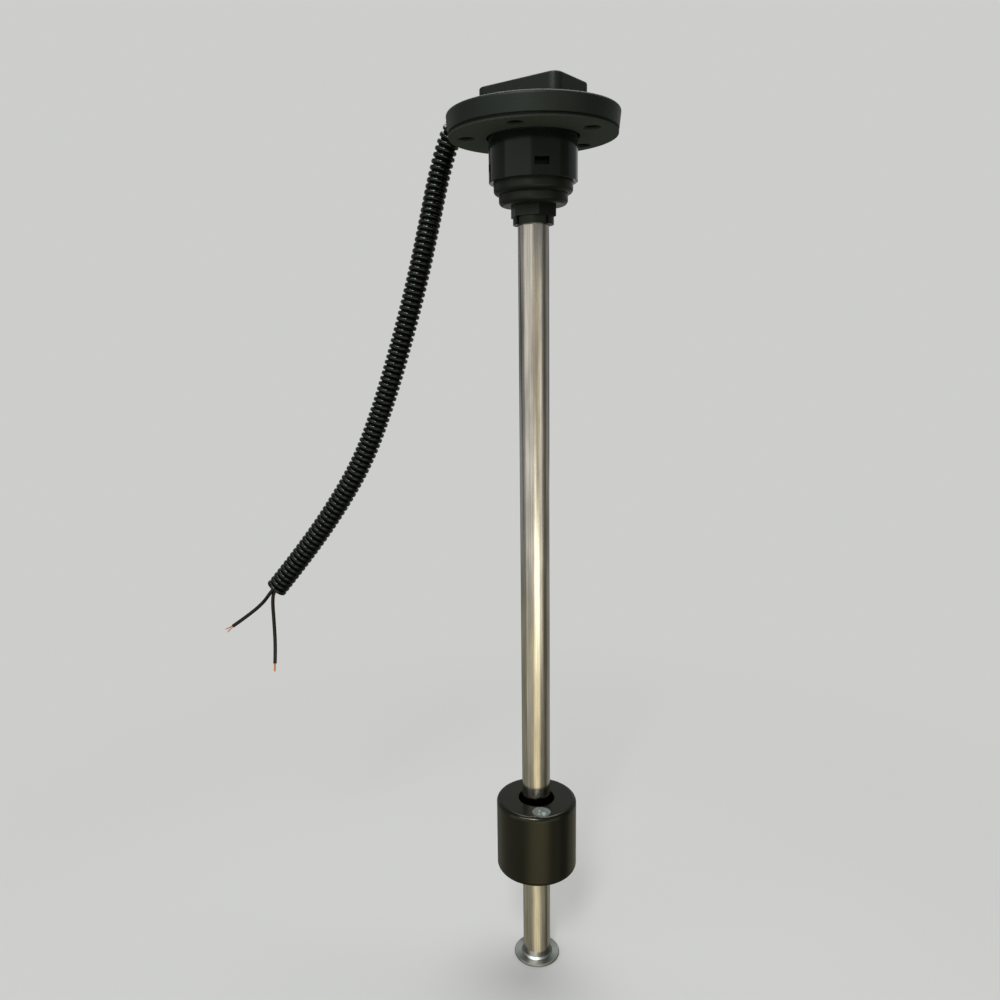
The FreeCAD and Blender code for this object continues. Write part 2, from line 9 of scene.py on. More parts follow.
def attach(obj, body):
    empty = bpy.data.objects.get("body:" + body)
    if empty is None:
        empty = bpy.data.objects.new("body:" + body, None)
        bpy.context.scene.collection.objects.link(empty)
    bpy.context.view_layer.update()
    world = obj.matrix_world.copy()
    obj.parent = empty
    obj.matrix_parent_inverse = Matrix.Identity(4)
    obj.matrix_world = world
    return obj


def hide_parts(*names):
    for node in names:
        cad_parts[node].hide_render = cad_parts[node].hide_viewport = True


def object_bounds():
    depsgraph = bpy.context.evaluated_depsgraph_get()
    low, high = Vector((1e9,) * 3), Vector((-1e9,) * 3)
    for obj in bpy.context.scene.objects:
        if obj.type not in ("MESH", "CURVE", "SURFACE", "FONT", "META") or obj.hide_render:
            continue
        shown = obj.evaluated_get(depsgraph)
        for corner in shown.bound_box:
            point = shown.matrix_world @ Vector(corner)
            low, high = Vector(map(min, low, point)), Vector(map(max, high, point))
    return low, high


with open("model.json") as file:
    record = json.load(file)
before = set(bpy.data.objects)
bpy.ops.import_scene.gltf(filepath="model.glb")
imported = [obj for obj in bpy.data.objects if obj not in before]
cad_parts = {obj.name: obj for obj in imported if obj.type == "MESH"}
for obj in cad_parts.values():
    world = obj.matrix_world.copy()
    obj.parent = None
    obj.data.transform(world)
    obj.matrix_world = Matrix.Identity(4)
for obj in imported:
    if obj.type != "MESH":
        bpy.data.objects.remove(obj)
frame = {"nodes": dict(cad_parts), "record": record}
cad_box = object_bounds()

# A fuel level sender: black flange, steel stem, float, and a ringed conduit with two leads.
# Metres, +Z up the stem. Real sizes are written in millimetres and multiplied by MM.
MM = 0.001

# Camera at the photograph's place: angles in degrees, the lens in millimetres, the shift as a share
# of the picture's width, and how near it sees in metres
CAMERA_PLACE = (-24.33 * MM, -363.56 * MM, -78.51 * MM)
CAMERA_PITCH = 78.97
CAMERA_ROLL = -1.01
CAMERA_LENS = 30.306
CAMERA_SHIFT = 0.0205
CAMERA_NEAR = 0.01

# Conduit, in millimetres
CONDUIT_DIAMETER = 10.0
CONDUIT_ROOT = 7.7
CONDUIT_WALL = 0.35
CONDUIT_SIDES = 28
RING_COUNT = 98
RING_PITCH = 2.45
# Steps in the outline of each ring
RING_STEPS = 18
# The sleeve starts this share into a ring, so that it ends just behind a crest
RING_START = 0.8
RING_CREST_WIDTH = 2.0
# Two would give half an ellipse, and more gives a flatter crest with steeper sides
RING_SQUARENESS = 2.6
# The bend at the head pulls the rings apart: this far in all, most of it over the first rings
RING_PULL = 11.0
RING_PULL_COUNT = 22.0
# Painted shade dulls the grooves, and thins out between these radii
GROOVE_SHADE = (4.0, 4.4)
# Specular level in the grooves' painted shade and on the crests
GROOVE_SHINE = 0.02
CREST_SHINE = 0.28

# Leads, in millimetres
LEAD_DIAMETER = 1.7
LEAD_SPACING = 2.0
LEAD_SIDES = 16
LEAD_STEP = 1.2

# Bare strands at each lead's end, in millimetres
STRAND_DIAMETER = 0.24
STRAND_COUNT = 14
STRAND_LENGTH = 4.4
# The shortest strand as a share of that length
STRAND_SHORTEST = 0.72
STRAND_SIDES = 6
STRAND_STEP = 0.4
# Straight pieces in a strand's line
STRAND_PIECES = 8
# How far inside the insulation a strand starts
STRAND_ROOT = 0.6
# How far a strand's tip leans aside at most
STRAND_LEAN = 0.12
# How far a strand winds round its bundle, in radians
STRAND_TWIST = 1.2
# From one strand to the next round the bundle: this angle fills it evenly
BUNDLE_TURN = math.radians(137.5)
BUNDLE_RADIUS = 0.42
# The bundle closes by this share towards its tip
BUNDLE_TAPER = 0.35
# How far each of a bundle's two tufts opens aside, and how late, where one would be evenly
TUFT_OPENING = {"lead_1": 0.75, "lead_2": 0.15}
TUFT_CURVE = 1.6

# A cord's line: steps between the points of its route, and an order that keeps it near them
LINE_STEPS = 24
LINE_ORDER = 3

# Where the conduit leaves the housing, and its route over the rim and down, in millimetres
CONDUIT_EXIT = (-15.37, 11.67, 14.6)
CONDUIT_ROUTE = [
    (-23.66, 17.96, 14.6),
    (-28.1, 24.1, 15.3),
    (-31.4, 29.6, 12.2),
    (-35.5, 32.1, 5.8),
    (-40.4, 33.0, -9.8),
    (-44.6, 30.4, -28.8),
    (-51.1, 26.7, -56.0),
    (-59.5, 25.0, -84.5),
    (-67.9, 23.5, -110.0),
    (-77.5, 22.2, -133.7),
    (-90.2, 21.0, -154.6),
    (-106.4, 19.7, -176.7),
    (-121.0, 18.7, -194.0),
]
# Both leads start at the board, pass through the nipple and leave over the mouth's left edge
LEAD_STARTS = [(-0.56, 0.42, 11.5), (-12.47, 9.46, 14.6)]
LEAD_MOUTH = (-122.2, 18.7, -194.4)
LEAD_TAILS = {
    "lead_1": [(-128.0, 20.3, -201.4), (-136.2, 21.8, -208.1), (-143.6, 21.7, -213.1)],
    "lead_2": [(-123.4, 19.6, -198.5), (-123.6, 20.9, -212.8), (-123.8, 21.0, -224.3),
               (-124.4, 20.5, -231.8)],
}
# The leads lie side by side along this direction
ACROSS_CONDUIT = Vector((0.6046, 0.7965, 0.0))
# Towards the camera's side
FRONT = Vector((0, -1, 0))

# The switch ladder inside the stem, in millimetres: its first step below the seat, and the half
# lengths of a reed's glass and of a resistor's glaze
LADDER_FIRST = 52.0
LADDER_PITCH = 25.0
REED_GLASS_HALF = 6.4
RESISTOR_GLAZE_HALF = 1.15

# Heights over which a finish changes, in millimetres: from the smooth skirt to the eroded flange,
# from the holder in the open to the painted shade inside the skirt, and into the painted shade of
# the joint above the gasket
ERODED_FLANGE = (-0.5, 0.5)
INSIDE_SKIRT = (-17.5, -17.0)
GASKET_JOINT = (0.5, 1.1)
# Specular level of the holder in the open, and in the painted shade inside the skirt
HOLDER_SHINE = 0.15
SKIRT_SHADE_SHINE = 0.05


def linear(colour):
    """An sRGB hex colour as linear RGBA."""
    channels = [int(colour[place:place + 2], 16) / 255 for place in (1, 3, 5)]
    return (*[c / 12.92 if c <= 0.04045 else ((c + 0.055) / 1.055) ** 2.4 for c in channels], 1.0)


def add_node(tree, kind, inputs=(), **settings):
    """Add a node; an input is a plain value or the socket that feeds it."""
    node = tree.nodes.new(kind)
    for name, value in settings.items():
        setattr(node, name, value)
    for key, value in dict(inputs).items():
        if isinstance(value, bpy.types.NodeSocket):
            tree.links.new(value, node.inputs[key])
        else:
            node.inputs[key].default_value = value
    return node


def per_size(*sizes):
    """The scale of a pattern along each axis, from its sizes there in millimetres."""
    return tuple(1 / (size * MM) for size in sizes)


# Sockets of the Mix node's two colours and of its mixed colour
MIX_FROM = 6
MIX_TO = 7
MIXED = 2


class Finish:
    """A material with one Principled shader that reads Object coordinates."""

    def __init__(self, name, **constants):
        self.material = bpy.data.materials.new(name)
        self.material.use_nodes = True
        self.tree = self.material.node_tree
        self.shader = self.tree.nodes["Principled BSDF"]
        self.place = self.add("ShaderNodeTexCoord").outputs["Object"]
        for socket, value in constants.items():
            self.shader.inputs[socket.replace("_", " ")].default_value = value

    def add(self, kind, inputs=(), **settings):
        """Add a node to this finish."""
        return add_node(self.tree, kind, inputs, **settings)

    def feed(self, socket, output):
        """Let a node's output drive one of the shader's sockets."""
        self.tree.links.new(output, self.shader.inputs[socket])


def glass_filled_nylon():
    """Head moulding: spark eroded flange that scatters light, and a smoother skirt below it."""
    finish = Finish("glass_filled_nylon", IOR=1.53, Specular_IOR_Level=0.22,
                    Specular_Tint=linear("#EDFFF8"))
    # Such grain is about 0.1 mm, too fine to show, so it is drawn coarser
    grain = finish.add("ShaderNodeTexNoise", {
        "Vector": finish.place, "Scale": 1 / (0.55 * MM), "Detail": 3.0})
    cloud = finish.add("ShaderNodeTexNoise", {"Vector": finish.place, "Scale": 1 / (9 * MM)})
    height = finish.add("ShaderNodeSeparateXYZ", {"Vector": finish.place}).outputs["Z"]
    eroded = finish.add("ShaderNodeMapRange", {
        "Value": height, "From Min": ERODED_FLANGE[0] * MM, "From Max": ERODED_FLANGE[1] * MM})
    tone = finish.add("ShaderNodeMix", {0: cloud.outputs["Fac"], MIX_FROM: linear("#0D0F0B"),
                                        MIX_TO: linear("#151913")}, data_type="RGBA")
    finish.feed("Base Color", tone.outputs[MIXED])
    rough = finish.add("ShaderNodeMapRange", {
        "Value": eroded.outputs["Result"], "To Min": 0.15, "To Max": 0.46})
    finish.feed("Roughness", rough.outputs["Result"])
    depth = finish.add("ShaderNodeMath", {0: grain.outputs["Fac"], 1: eroded.outputs["Result"]},
                       operation="MULTIPLY")
    bump = finish.add("ShaderNodeBump", {"Height": depth.outputs["Value"], "Strength": 0.6,
                                         "Distance": 0.10 * MM})
    finish.feed("Normal", bump.outputs["Normal"])
    return finish.material


def satin_nylon():
    """Holder and nut: polished black nylon with soft reflections; painted shade makes it dark and
    dull in the skirt.
    """
    finish = Finish("satin_nylon", IOR=1.53, Specular_IOR_Level=HOLDER_SHINE,
                    Specular_Tint=linear("#F0FFF8"))
    along = finish.add("ShaderNodeMapping", {"Vector": finish.place, "Scale": per_size(3, 3, 8)})
    flow = finish.add("ShaderNodeTexNoise", {
        "Vector": along.outputs["Vector"], "Scale": 1.0, "Detail": 4.0})
    tone = finish.add("ShaderNodeMix", {0: flow.outputs["Fac"], MIX_FROM: linear("#0F110C"),
                                        MIX_TO: linear("#161811")}, data_type="RGBA")
    height = finish.add("ShaderNodeSeparateXYZ", {"Vector": finish.place}).outputs["Z"]
    hidden = finish.add("ShaderNodeMapRange", {
        "Value": height, "From Min": INSIDE_SKIRT[0] * MM, "From Max": INSIDE_SKIRT[1] * MM})
    # Painted shade: inside the skirt the holder is darkened and its shine is lowered
    painted_skirt_shade = finish.add("ShaderNodeMix", {0: hidden.outputs["Result"], MIX_FROM: tone.outputs[MIXED],
                                        MIX_TO: linear("#080908")}, data_type="RGBA")
    finish.feed("Base Color", painted_skirt_shade.outputs[MIXED])
    shine = finish.add("ShaderNodeMapRange", {
        "Value": hidden.outputs["Result"], "To Min": HOLDER_SHINE, "To Max": SKIRT_SHADE_SHINE})
    finish.feed("Specular IOR Level", shine.outputs["Result"])
    rough = finish.add("ShaderNodeMapRange", {
        "Value": flow.outputs["Fac"], "To Min": 0.26, "To Max": 0.42})
    finish.feed("Roughness", rough.outputs["Result"])
    bump = finish.add("ShaderNodeBump", {
        "Height": flow.outputs["Fac"], "Strength": 0.3, "Distance": 0.08 * MM})
    finish.feed("Normal", bump.outputs["Normal"])
    return finish.material


def nitrile_sheet():
    """Gasket and seals: matte green-grey rubber with mineral specks, with painted shade in the
    joint above.
    """
    finish = Finish("nitrile_sheet", IOR=1.5, Specular_IOR_Level=0.12)
    # Such specks are about 0.2 mm, too fine to show, so they are drawn coarser
    speck = finish.add("ShaderNodeTexNoise", {
        "Vector": finish.place, "Scale": 1 / (0.7 * MM), "Detail": 4.0})
    tone = finish.add("ShaderNodeMix", {0: speck.outputs["Fac"], MIX_FROM: linear("#232A22"),
                                        MIX_TO: linear("#363F34")}, data_type="RGBA")
    height = finish.add("ShaderNodeSeparateXYZ", {"Vector": finish.place}).outputs["Z"]
    joint = finish.add("ShaderNodeMapRange", {
        "Value": height, "From Min": GASKET_JOINT[0] * MM, "From Max": GASKET_JOINT[1] * MM})
    # Painted shade: the sheet darkens towards the joint under the flange
    joint_shade_painted = finish.add("ShaderNodeMix", {0: joint.outputs["Result"], MIX_FROM: tone.outputs[MIXED],
                                        MIX_TO: linear("#060706")}, data_type="RGBA")
    finish.feed("Base Color", joint_shade_painted.outputs[MIXED])
    rough = finish.add("ShaderNodeMapRange", {
        "Value": speck.outputs["Fac"], "To Min": 0.72, "To Max": 0.9})
    finish.feed("Roughness", rough.outputs["Result"])
    bump = finish.add("ShaderNodeBump", {
        "Height": speck.outputs["Fac"], "Strength": 0.3, "Distance": 0.06 * MM})
    finish.feed("Normal", bump.outputs["Normal"])
    return finish.material


def drawn_stainless():
    """Stem: drawn and polished stainless tube, bright, with faint streaks along its length."""
    finish = Finish("drawn_stainless", Metallic=1.0)
    # Such streaks are under 0.1 mm wide, too fine to show, so they are drawn wider
    drawn = finish.add("ShaderNodeMapping", {
        "Vector": finish.place, "Scale": per_size(0.32, 0.32, 60)})
    streak = finish.add("ShaderNodeTexNoise", {
        "Vector": drawn.outputs["Vector"], "Scale": 1.0, "Detail": 4.0, "Roughness": 0.7})
    broad = finish.add("ShaderNodeMapping", {"Vector": finish.place, "Scale": per_size(5, 5, 40)})
    cloud = finish.add("ShaderNodeTexNoise", {
        "Vector": broad.outputs["Vector"], "Scale": 1.0, "Detail": 3.0})
    worn = finish.add("ShaderNodeMath", {
        0: streak.outputs["Fac"], 1: cloud.outputs["Fac"]}, operation="MULTIPLY")
    lit = finish.add("ShaderNodeMapRange", {
        "Value": worn.outputs["Value"], "From Min": 0.12, "From Max": 0.38})
    tone = finish.add("ShaderNodeMix", {0: lit.outputs["Result"], MIX_FROM: linear("#94918A"),
                                        MIX_TO: linear("#D5D2CA")}, data_type="RGBA")
    finish.feed("Base Color", tone.outputs[MIXED])
    rough = finish.add("ShaderNodeMapRange", {
        "Value": streak.outputs["Fac"], "To Min": 0.06, "To Max": 0.19})
    finish.feed("Roughness", rough.outputs["Result"])
    bump = finish.add("ShaderNodeBump", {"Height": streak.outputs["Fac"], "Strength": 1.0,
                                         "Distance": 0.03 * MM})
    finish.feed("Normal", bump.outputs["Normal"])
    return finish.material


def turned_stainless():
    """Foot: stainless disc, whose fine turning rings about the stem spread light into a fan."""
    finish = Finish("turned_stainless", Metallic=1.0, Anisotropic=0.75)
    around = finish.add("ShaderNodeTangent", direction_type="RADIAL", axis="Z")
    finish.feed("Tangent", around.outputs["Tangent"])
    flat = finish.add("ShaderNodeVectorMath", {
        0: finish.place, 1: (1.0, 1.0, 0.0)}, operation="MULTIPLY")
    radius = finish.add("ShaderNodeVectorMath", {0: flat.outputs["Vector"]}, operation="LENGTH")
    # Such rings are about 0.1 mm apart, too fine to show, so they are drawn wider
    turns = finish.add("ShaderNodeTexNoise", {
        "W": radius.outputs["Value"], "Scale": 1 / (0.35 * MM), "Detail": 3.0},
        noise_dimensions="1D")
    cloud = finish.add("ShaderNodeTexNoise", {"Vector": finish.place, "Scale": 1 / (4 * MM)})
    tone = finish.add("ShaderNodeMix", {0: cloud.outputs["Fac"], MIX_FROM: linear("#7B7F7C"),
                                        MIX_TO: linear("#9FA4A0")}, data_type="RGBA")
    finish.feed("Base Color", tone.outputs[MIXED])
    rough = finish.add("ShaderNodeMapRange", {
        "Value": turns.outputs["Fac"], "To Min": 0.26, "To Max": 0.42})
    finish.feed("Roughness", rough.outputs["Result"])
    bump = finish.add("ShaderNodeBump", {
        "Height": turns.outputs["Fac"], "Strength": 0.3, "Distance": 0.03 * MM})
    finish.feed("Normal", bump.outputs["Normal"])
    return finish.material


def skinned_foam_rubber():
    """Float: closed cell nitrile foam with a moulded satin skin, very faintly pored."""
    finish = Finish("skinned_foam_rubber", IOR=1.5, Specular_IOR_Level=0.36,
                    Specular_Tint=linear("#FEFFE8"))
    # Such pores are about 0.1 mm, too fine to show, so they are drawn coarser
    pores = finish.add("ShaderNodeTexNoise", {
        "Vector": finish.place, "Scale": 1 / (0.5 * MM), "Detail": 2.0})
    tall = finish.add("ShaderNodeMapping", {"Vector": finish.place, "Scale": per_size(10, 10, 14)})
    cloud = finish.add("ShaderNodeTexNoise", {"Vector": tall.outputs["Vector"], "Scale": 1.0})
    tone = finish.add("ShaderNodeMix", {0: cloud.outputs["Fac"], MIX_FROM: linear("#070804"),
                                        MIX_TO: linear("#0C0D07")}, data_type="RGBA")
    finish.feed("Base Color", tone.outputs[MIXED])
    rough = finish.add("ShaderNodeMapRange", {
        "Value": cloud.outputs["Fac"], "To Min": 0.20, "To Max": 0.27})
    finish.feed("Roughness", rough.outputs["Result"])
    bump = finish.add("ShaderNodeBump", {
        "Height": pores.outputs["Fac"], "Strength": 0.2, "Distance": 0.05 * MM})
    finish.feed("Normal", bump.outputs["Normal"])
    return finish.material


def cast_epoxy():
    """Magnet plugs: grey cast epoxy with a glossy, slightly wavy meniscus."""
    finish = Finish("cast_epoxy", IOR=1.55, Roughness=0.12)
    cloud = finish.add("ShaderNodeTexNoise", {"Vector": finish.place, "Scale": 1 / (2.5 * MM)})
    tone = finish.add("ShaderNodeMix", {0: cloud.outputs["Fac"], MIX_FROM: linear("#586059"),
                                        MIX_TO: linear("#828A84")}, data_type="RGBA")
    finish.feed("Base Color", tone.outputs[MIXED])
    bump = finish.add("ShaderNodeBump", {
        "Height": cloud.outputs["Fac"], "Strength": 0.4, "Distance": 0.35 * MM})
    finish.feed("Normal", bump.outputs["Normal"])
    return finish.material


def pressed_ferrite():
    """Magnets: pressed and sintered ferrite, dull charcoal with a gritty surface."""
    finish = Finish("pressed_ferrite", IOR=1.6, Roughness=0.7)
    # Such grit is under 0.1 mm, too fine to show, so it is drawn coarser
    grit = finish.add("ShaderNodeTexNoise", {"Vector": finish.place, "Scale": 1 / (0.3 * MM)})
    tone = finish.add("ShaderNodeMix", {0: grit.outputs["Fac"], MIX_FROM: linear("#1C1C1E"),
                                        MIX_TO: linear("#2E2E31")}, data_type="RGBA")
    finish.feed("Base Color", tone.outputs[MIXED])
    return finish.material


def glass_cloth_laminate():
    """Board: green varnished glass cloth laminate whose weave shows through the varnish."""
    finish = Finish("glass_cloth_laminate", IOR=1.5, Roughness=0.3)
    # Such a weave is about 0.5 mm, too fine to show, so it is drawn coarser
    weave = finish.add("ShaderNodeTexWave", {
        "Vector": finish.place, "Scale": 1 / (1.2 * MM), "Distortion": 1.0},
        bands_direction="Z")
    tone = finish.add("ShaderNodeMix", {0: weave.outputs["Fac"], MIX_FROM: linear("#123822"),
                                        MIX_TO: linear("#1C4A2E")}, data_type="RGBA")
    finish.feed("Base Color", tone.outputs[MIXED])
    return finish.material


def potting_epoxy():
    """Head resin: poured black epoxy, level and glossy with a few shallow ripples."""
    finish = Finish("potting_epoxy", IOR=1.55, Base_Color=linear("#0E0E0E"))
    ripple = finish.add("ShaderNodeTexNoise", {"Vector": finish.place, "Scale": 1 / (5 * MM)})
    rough = finish.add("ShaderNodeMapRange", {
        "Value": ripple.outputs["Fac"], "To Min": 0.08, "To Max": 0.2})
    finish.feed("Roughness", rough.outputs["Result"])
    bump = finish.add("ShaderNodeBump", {
        "Height": ripple.outputs["Fac"], "Strength": 0.3, "Distance": 0.1 * MM})
    finish.feed("Normal", bump.outputs["Normal"])
    return finish.material


def beyond_ladder_middle(finish, reach):
    """One where a point is further than a reach along the stem from its ladder step's middle."""
    height = finish.add("ShaderNodeSeparateXYZ", {"Vector": finish.place}).outputs["Z"]
    steps = finish.add("ShaderNodeMath", {
        0: height, 1: (LADDER_FIRST + LADDER_PITCH / 2) * MM}, operation="ADD")
    away = finish.add("ShaderNodeMath", {
        0: steps.outputs["Value"], 1: LADDER_PITCH * MM}, operation="FLOORED_MODULO")
    offset = finish.add("ShaderNodeMath", {
        0: away.outputs["Value"], 1: LADDER_PITCH / 2 * MM}, operation="SUBTRACT")
    distance = finish.add("ShaderNodeMath", {0: offset.outputs["Value"]}, operation="ABSOLUTE")
    beyond = finish.add("ShaderNodeMath", {
        0: distance.outputs["Value"], 1: reach * MM}, operation="GREATER_THAN")
    return beyond.outputs["Value"]


def reed_switch_glass():
    """Reed switches: green-tinted sealing glass over the middle, bare tinned wire at the ends."""
    finish = Finish("reed_switch_glass", IOR=1.5, Roughness=0.08)
    wire = beyond_ladder_middle(finish, REED_GLASS_HALF)
    tone = finish.add("ShaderNodeMix", {
        0: wire, MIX_FROM: linear("#7FA692"), MIX_TO: linear("#B9B7B2")}, data_type="RGBA")
    finish.feed("Base Color", tone.outputs[MIXED])
    finish.feed("Metallic", wire)
    return finish.material


def chip_resistor_glaze():
    """Ladder resistors: black glazed ceramic with tinned end caps."""
    finish = Finish("chip_resistor_glaze", IOR=1.5, Roughness=0.25)
    cap = beyond_ladder_middle(finish, RESISTOR_GLAZE_HALF)
    tone = finish.add("ShaderNodeMix", {
        0: cap, MIX_FROM: linear("#17171A"), MIX_TO: linear("#C4C3BF")}, data_type="RGBA")
    finish.feed("Base Color", tone.outputs[MIXED])
    finish.feed("Metallic", cap)
    return finish.material


def ringed_polyamide():
    """Conduit: blown black polyamide that shines on each crest, with painted shade in the grooves.
    """
    finish = Finish("ringed_polyamide", IOR=1.53, Specular_IOR_Level=CREST_SHINE,
                    Specular_Tint=linear("#F0FFFC"))
    radius = finish.add("ShaderNodeAttribute", attribute_name="ring_radius").outputs["Fac"]
    # Painted shade: the grooves barely shine, and the crests keep theirs
    crest = finish.add("ShaderNodeMapRange", {
        "Value": radius, "From Min": GROOVE_SHADE[0] * MM, "From Max": GROOVE_SHADE[1] * MM,
        "To Min": GROOVE_SHINE, "To Max": CREST_SHINE})
    finish.feed("Specular IOR Level", crest.outputs["Result"])
    cloud = finish.add("ShaderNodeTexNoise", {
        "Vector": finish.place, "Scale": 1 / (5 * MM), "Detail": 1.0})
    tone = finish.add("ShaderNodeMix", {0: cloud.outputs["Fac"], MIX_FROM: linear("#060804"),
                                        MIX_TO: linear("#0B0D08")}, data_type="RGBA")
    finish.feed("Base Color", tone.outputs[MIXED])
    rough = finish.add("ShaderNodeMapRange", {
        "Value": cloud.outputs["Fac"], "To Min": 0.12, "To Max": 0.20})
    finish.feed("Roughness", rough.outputs["Result"])
    bump = finish.add("ShaderNodeBump", {
        "Height": cloud.outputs["Fac"], "Strength": 0.1, "Distance": 0.1 * MM})
    finish.feed("Normal", bump.outputs["Normal"])
    return finish.material


def lead_vinyl():
    """Lead insulation: extruded black vinyl, smooth with a satin shine and slight flow marks."""
    finish = Finish("lead_vinyl", IOR=1.53, Specular_IOR_Level=0.24)
    flow = finish.add("ShaderNodeTexNoise", {"Vector": finish.place, "Scale": 1 / (0.8 * MM)})
    tone = finish.add("ShaderNodeMix", {0: flow.outputs["Fac"], MIX_FROM: linear("#060704"),
                                        MIX_TO: linear("#0B0C08")}, data_type="RGBA")
    finish.feed("Base Color", tone.outputs[MIXED])
    rough = finish.add("ShaderNodeMapRange", {
        "Value": flow.outputs["Fac"], "To Min": 0.08, "To Max": 0.16})
    finish.feed("Roughness", rough.outputs["Result"])
    return finish.material


def bare_copper():
    """Lead strands: drawn soft copper, bright with slight tarnish."""
    finish = Finish("bare_copper", Metallic=1.0)
    tarnish = finish.add("ShaderNodeTexNoise", {"Vector": finish.place, "Scale": 1 / (0.6 * MM)})
    tone = finish.add("ShaderNodeMix", {0: tarnish.outputs["Fac"], MIX_FROM: linear("#BC7A5A"),
                                        MIX_TO: linear("#E6AB88")}, data_type="RGBA")
    finish.feed("Base Color", tone.outputs[MIXED])
    rough = finish.add("ShaderNodeMapRange", {
        "Value": tarnish.outputs["Fac"], "To Min": 0.22, "To Max": 0.42})
    finish.feed("Roughness", rough.outputs["Result"])
    return finish.material


def node_tree(name, sizes):
    """A geometry tree with named inputs: whole numbers are counts, the rest are measures."""
    tree = bpy.data.node_groups.new(name, "GeometryNodeTree")
    tree.interface.new_socket("Geometry", in_out="INPUT", socket_type="NodeSocketGeometry")
    for label, value in sizes.items():
        kind = "NodeSocketInt" if isinstance(value, int) else "NodeSocketFloat"
        tree.interface.new_socket(label, in_out="INPUT", socket_type=kind)
    tree.interface.new_socket("Material", in_out="INPUT", socket_type="NodeSocketMaterial")
    tree.interface.new_socket("Geometry", in_out="OUTPUT", socket_type="NodeSocketGeometry")
    return tree, add_node(tree, "NodeGroupInput").outputs


def close_tree(tree, geometry, material):
    """End a geometry tree with smooth shading, real instances and its material."""
    smooth = add_node(tree, "GeometryNodeSetShadeSmooth", {"Geometry": geometry})
    real = add_node(tree, "GeometryNodeRealizeInstances", {"Geometry": smooth.outputs["Geometry"]})
    painted = add_node(tree, "GeometryNodeSetMaterial", {"Geometry": real.outputs["Geometry"],
                                                         "Material": material})
    add_node(tree, "NodeGroupOutput", {"Geometry": painted.outputs["Geometry"]})


RING_SIZES = {
    "Rings": RING_COUNT, "Start": RING_START, "Steps": RING_STEPS, "Sides": CONDUIT_SIDES,
    "Pitch": RING_PITCH * MM, "Pull": RING_PULL * MM, "Pull Count": RING_PULL_COUNT,
    "Crest": CONDUIT_DIAMETER / 2 * MM, "Root": CONDUIT_ROOT / 2 * MM,
    "Crest Width": RING_CREST_WIDTH * MM, "Squareness": RING_SQUARENESS,
}


def reach_sums(ring):
    """Sums for how far along the sleeve a ring lies: even pitch, and the bend's pull up to it."""
    return [
        (f"{ring} Even", "MULTIPLY", ring, "Pitch"),
        (f"{ring} Back", "MULTIPLY", ring, -1.0),
        (f"{ring} Fade", "DIVIDE", f"{ring} Back", "Pull Count"),
        (f"{ring} Pull", "EXPONENT", f"{ring} Fade"),
        (f"{ring} Gone", "SUBTRACT", 1.0, f"{ring} Pull"),
        (f"{ring} Apart", "MULTIPLY", f"{ring} Gone", "Pull"),
        (f"{ring} Reach", "ADD", f"{ring} Even", f"{ring} Apart"),
    ]


# The sleeve's sums in order: name, operation, and terms that are sizes, earlier sums or numbers
RING_SUMS = [
    ("Ring Steps", "MULTIPLY", "Rings", "Steps"),
    ("Spots", "ADD", "Ring Steps", 1.0),
    # The ring that a spot belongs to, and the share of the sleeve that lies before it
    ("Ring", "DIVIDE", "Index", "Steps"),
    *reach_sums("Ring"),
    *reach_sums("Rings"),
    ("Share", "DIVIDE", "Ring Reach", "Rings Reach"),
    # The pitch there, which is wider where the bend pulls
    ("Widest", "DIVIDE", "Pull", "Pull Count"),
    ("Wider", "MULTIPLY", "Ring Pull", "Widest"),
    ("Pitch There", "ADD", "Pitch", "Wider"),
    # How far the spot is from the middle of its crest, in half widths of a crest
    ("Turn", "ADD", "Ring", "Start"),
    ("From Root", "PINGPONG", "Turn", 0.5),
    ("From Crest", "SUBTRACT", 0.5, "From Root"),
    ("Offset", "MULTIPLY", "From Crest", "Pitch There"),
    ("Half Width", "DIVIDE", "Crest Width", 2.0),
    ("Phase", "DIVIDE", "Offset", "Half Width"),
    # The radius there, on a round crest or at the root
    ("Fall", "POWER", "Phase", "Squareness"),
    ("Drop", "SUBTRACT", 1.0, "Fall"),
    ("Above Root", "MAXIMUM", "Drop", 0.0),
    ("Rounding", "DIVIDE", 1.0, "Squareness"),
    ("Crown", "POWER", "Above Root", "Rounding"),
    ("Height", "SUBTRACT", "Crest", "Root"),
    ("Rise", "MULTIPLY", "Crown", "Height"),
    ("Radius", "ADD", "Root", "Rise"),
]


